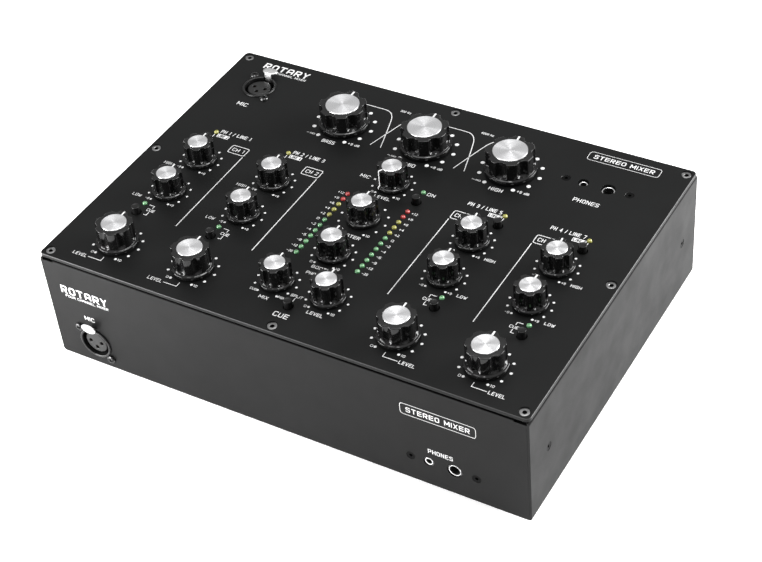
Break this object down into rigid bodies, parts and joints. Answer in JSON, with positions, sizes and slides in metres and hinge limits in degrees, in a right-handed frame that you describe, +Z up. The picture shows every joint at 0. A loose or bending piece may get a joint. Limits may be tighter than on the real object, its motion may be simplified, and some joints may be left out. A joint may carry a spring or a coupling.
{
  "type": "mixing console",
  "caption": "Four-channel rotary DJ mixing console: folded steel case, thick top plate with fluted knobs, push buttons, LED meters and audio sockets.",
  "frame": {"origin": "middle of the object's footprint, on the surface that its feet stand on", "axes": "+X to the right along the case's width, +Y from the front panel to the rear, +Z up"},
  "size_m": [0.32, 0.241, 0.1022],
  "materials": {
    "case_paint": "fine matte powder coat",
    "panel_paint": "fine matte powder coat with white print",
    "zinc_screw": "zinc plated",
    "black_screw": "black oxide",
    "foot_rubber": "matte",
    "board": "solder resist",
    "ribbon": "flat cable",
    "inner_metal": "plated",
    "black_plastic": "moulded",
    "red_lens": "tinted clear lens, unlit",
    "yellow_lens": "tinted clear lens, unlit",
    "green_lens": "tinted clear lens, unlit",
    "socket_black": "black coated die casting",
    "contact": "plated",
    "latch_metal": "satin nickel",
    "knob_gloss": "glossy phenolic with a spun aluminium cap",
    "button_black": "satin moulded"
  },
  "bodies": {
    "chassis": {"case_wrap": "case_paint", "front_panel": "case_paint", "rear_panel": "case_paint", "top_panel": "panel_paint", "top_screws": "zinc_screw", "black_screws": "black_screw", "feet": "foot_rubber", "main_board": "board", "board_standoffs": "zinc_screw", "rear_board": "board", "power_supply": "board", "ribbon_cable": "ribbon", "pot_bodies": "inner_metal", "pot_nuts": "inner_metal", "switch_bodies": "black_plastic", "leds_red": "red_lens", "leds_yellow": "yellow_lens", "leds_green": "green_lens", "mic_sockets": "socket_black", "mic_contacts": "contact", "connector_screws": "black_screw", "phones_jacks": "black_plastic", "rca_sockets": "contact", "output_sockets": "socket_black", "ground_terminal": "contact", "power_inlet": "black_plastic"},
    "bass_knob": {"bass_knob": "knob_gloss"},
    "mid_knob": {"mid_knob": "knob_gloss"},
    "treble_knob": {"treble_knob": "knob_gloss"},
    "ch1_high_knob": {"ch1_high_knob": "knob_gloss"},
    "ch1_low_knob": {"ch1_low_knob": "knob_gloss"},
    "ch1_level_knob": {"ch1_level_knob": "knob_gloss"},
    "ch2_high_knob": {"ch2_high_knob": "knob_gloss"},
    "ch2_low_knob": {"ch2_low_knob": "knob_gloss"},
    "ch2_level_knob": {"ch2_level_knob": "knob_gloss"},
    "ch3_high_knob": {"ch3_high_knob": "knob_gloss"},
    "ch3_low_knob": {"ch3_low_knob": "knob_gloss"},
    "ch3_level_knob": {"ch3_level_knob": "knob_gloss"},
    "ch4_high_knob": {"ch4_high_knob": "knob_gloss"},
    "ch4_low_knob": {"ch4_low_knob": "knob_gloss"},
    "ch4_level_knob": {"ch4_level_knob": "knob_gloss"},
    "mic_level_knob": {"mic_level_knob": "knob_gloss"},
    "master_level_knob": {"master_level_knob": "knob_gloss"},
    "booth_level_knob": {"booth_level_knob": "knob_gloss"},
    "cue_mix_knob": {"cue_mix_knob": "knob_gloss"},
    "cue_level_knob": {"cue_level_knob": "knob_gloss"},
    "mic_on_button": {"mic_on_button": "button_black"},
    "split_button": {"split_button": "button_black"},
    "ch1_source_button": {"ch1_source_button": "button_black"},
    "ch1_cue_button": {"ch1_cue_button": "button_black"},
    "ch2_source_button": {"ch2_source_button": "button_black"},
    "ch2_cue_button": {"ch2_cue_button": "button_black"},
    "ch3_source_button": {"ch3_source_button": "button_black"},
    "ch3_cue_button": {"ch3_cue_button": "button_black"},
    "ch4_source_button": {"ch4_source_button": "button_black"},
    "ch4_cue_button": {"ch4_cue_button": "button_black"},
    "mic_latch_top": {"mic_latch_top": "latch_metal"},
    "mic_latch_front": {"mic_latch_front": "latch_metal"},
    "power_rocker": {"power_rocker": "button_black"},
    "ground_nut": {"ground_nut": "contact"}
  },
  "joints": [
    {"name": "bass_turn", "type": "hinge", "parent": "chassis", "child": "bass_knob", "pos_m": [-0.0583, 0.06665, 0.0863], "axis": [0, 0, 1], "range_deg": [-150, 150]},
    {"name": "mid_turn", "type": "hinge", "parent": "chassis", "child": "mid_knob", "pos_m": [0, 0.06665, 0.0863], "axis": [0, 0, 1], "range_deg": [-150, 150]},
    {"name": "treble_turn", "type": "hinge", "parent": "chassis", "child": "treble_knob", "pos_m": [0.0583, 0.06665, 0.0863], "axis": [0, 0, 1], "range_deg": [-150, 150]},
    {"name": "ch1_high_turn", "type": "hinge", "parent": "chassis", "child": "ch1_high_knob", "pos_m": [-0.1216, -0.00195, 0.0863], "axis": [0, 0, 1], "range_deg": [-150, 150]},
    {"name": "ch1_low_turn", "type": "hinge", "parent": "chassis", "child": "ch1_low_knob", "pos_m": [-0.1216, -0.03595, 0.0863], "axis": [0, 0, 1], "range_deg": [-150, 150]},
    {"name": "ch1_level_turn", "type": "hinge", "parent": "chassis", "child": "ch1_level_knob", "pos_m": [-0.1216, -0.08935, 0.0863], "axis": [0, 0, 1], "range_deg": [-150, 150]},
    {"name": "ch2_high_turn", "type": "hinge", "parent": "chassis", "child": "ch2_high_knob", "pos_m": [-0.0678, -0.00195, 0.0863], "axis": [0, 0, 1], "range_deg": [-150, 150]},
    {"name": "ch2_low_turn", "type": "hinge", "parent": "chassis", "child": "ch2_low_knob", "pos_m": [-0.0678, -0.03595, 0.0863], "axis": [0, 0, 1], "range_deg": [-150, 150]},
    {"name": "ch2_level_turn", "type": "hinge", "parent": "chassis", "child": "ch2_level_knob", "pos_m": [-0.0678, -0.08935, 0.0863], "axis": [0, 0, 1], "range_deg": [-150, 150]},
    {"name": "ch3_high_turn", "type": "hinge", "parent": "chassis", "child": "ch3_high_knob", "pos_m": [0.0678, -0.00195, 0.0863], "axis": [0, 0, 1], "range_deg": [-150, 150]},
    {"name": "ch3_low_turn", "type": "hinge", "parent": "chassis", "child": "ch3_low_knob", "pos_m": [0.0678, -0.03595, 0.0863], "axis": [0, 0, 1], "range_deg": [-150, 150]},
    {"name": "ch3_level_turn", "type": "hinge", "parent": "chassis", "child": "ch3_level_knob", "pos_m": [0.0678, -0.08935, 0.0863], "axis": [0, 0, 1], "range_deg": [-150, 150]},
    {"name": "ch4_high_turn", "type": "hinge", "parent": "chassis", "child": "ch4_high_knob", "pos_m": [0.1216, -0.00195, 0.0863], "axis": [0, 0, 1], "range_deg": [-150, 150]},
    {"name": "ch4_low_turn", "type": "hinge", "parent": "chassis", "child": "ch4_low_knob", "pos_m": [0.1216, -0.03595, 0.0863], "axis": [0, 0, 1], "range_deg": [-150, 150]},
    {"name": "ch4_level_turn", "type": "hinge", "parent": "chassis", "child": "ch4_level_knob", "pos_m": [0.1216, -0.08935, 0.0863], "axis": [0, 0, 1], "range_deg": [-150, 150]},
    {"name": "mic_level_turn", "type": "hinge", "parent": "chassis", "child": "mic_level_knob", "pos_m": [0, 0.02575, 0.0863], "axis": [0, 0, 1], "range_deg": [-300, 0]},
    {"name": "master_level_turn", "type": "hinge", "parent": "chassis", "child": "master_level_knob", "pos_m": [0, -0.01025, 0.0863], "axis": [0, 0, 1], "range_deg": [-150, 150]},
    {"name": "booth_level_turn", "type": "hinge", "parent": "chassis", "child": "booth_level_knob", "pos_m": [0, -0.04465, 0.0863], "axis": [0, 0, 1], "range_deg": [-150, 150]},
    {"name": "cue_mix_turn", "type": "hinge", "parent": "chassis", "child": "cue_mix_knob", "pos_m": [-0.017, -0.07885, 0.0863], "axis": [0, 0, 1], "range_deg": [-150, 150]},
    {"name": "cue_level_turn", "type": "hinge", "parent": "chassis", "child": "cue_level_knob", "pos_m": [0.017, -0.07885, 0.0863], "axis": [0, 0, 1], "range_deg": [-150, 150]},
    {"name": "mic_on_press", "type": "slide", "parent": "chassis", "child": "mic_on_button", "axis": [0, 0, -1], "range_m": [0, 0.002], "stiffness_N_per_m": 400, "springref_m": -0.002},
    {"name": "split_press", "type": "slide", "parent": "chassis", "child": "split_button", "axis": [0, 0, -1], "range_m": [0, 0.002], "stiffness_N_per_m": 400, "springref_m": -0.002},
    {"name": "ch1_source_press", "type": "slide", "parent": "chassis", "child": "ch1_source_button", "axis": [0, 0, -1], "range_m": [0, 0.002], "stiffness_N_per_m": 400, "springref_m": -0.002},
    {"name": "ch1_cue_press", "type": "slide", "parent": "chassis", "child": "ch1_cue_button", "axis": [0, 0, -1], "range_m": [0, 0.002], "stiffness_N_per_m": 400, "springref_m": -0.002},
    {"name": "ch2_source_press", "type": "slide", "parent": "chassis", "child": "ch2_source_button", "axis": [0, 0, -1], "range_m": [0, 0.002], "stiffness_N_per_m": 400, "springref_m": -0.002},
    {"name": "ch2_cue_press", "type": "slide", "parent": "chassis", "child": "ch2_cue_button", "axis": [0, 0, -1], "range_m": [0, 0.002], "stiffness_N_per_m": 400, "springref_m": -0.002},
    {"name": "ch3_source_press", "type": "slide", "parent": "chassis", "child": "ch3_source_button", "axis": [0, 0, -1], "range_m": [0, 0.002], "stiffness_N_per_m": 400, "springref_m": -0.002},
    {"name": "ch3_cue_press", "type": "slide", "parent": "chassis", "child": "ch3_cue_button", "axis": [0, 0, -1], "range_m": [0, 0.002], "stiffness_N_per_m": 400, "springref_m": -0.002},
    {"name": "ch4_source_press", "type": "slide", "parent": "chassis", "child": "ch4_source_button", "axis": [0, 0, -1], "range_m": [0, 0.002], "stiffness_N_per_m": 400, "springref_m": -0.002},
    {"name": "ch4_cue_press", "type": "slide", "parent": "chassis", "child": "ch4_cue_button", "axis": [0, 0, -1], "range_m": [0, 0.002], "stiffness_N_per_m": 400, "springref_m": -0.002},
    {"name": "mic_latch_top_press", "type": "slide", "parent": "chassis", "child": "mic_latch_top", "axis": [0, 0, -1], "range_m": [0, 0.0025], "stiffness_N_per_m": 400, "springref_m": -0.002},
    {"name": "mic_latch_front_press", "type": "slide", "parent": "chassis", "child": "mic_latch_front", "axis": [0, 1, 0], "range_m": [0, 0.0025], "stiffness_N_per_m": 400, "springref_m": -0.002},
    {"name": "power_rocker_tilt", "type": "hinge", "parent": "chassis", "child": "power_rocker", "pos_m": [0.128, 0.10755, 0.062], "axis": [1, 0, 0], "range_deg": [0, 24]},
    {"name": "ground_nut_turn", "type": "hinge", "parent": "chassis", "child": "ground_nut", "pos_m": [-0.152, 0.11605, 0.048], "axis": [0, 1, 0], "continuous": true}
  ]
}
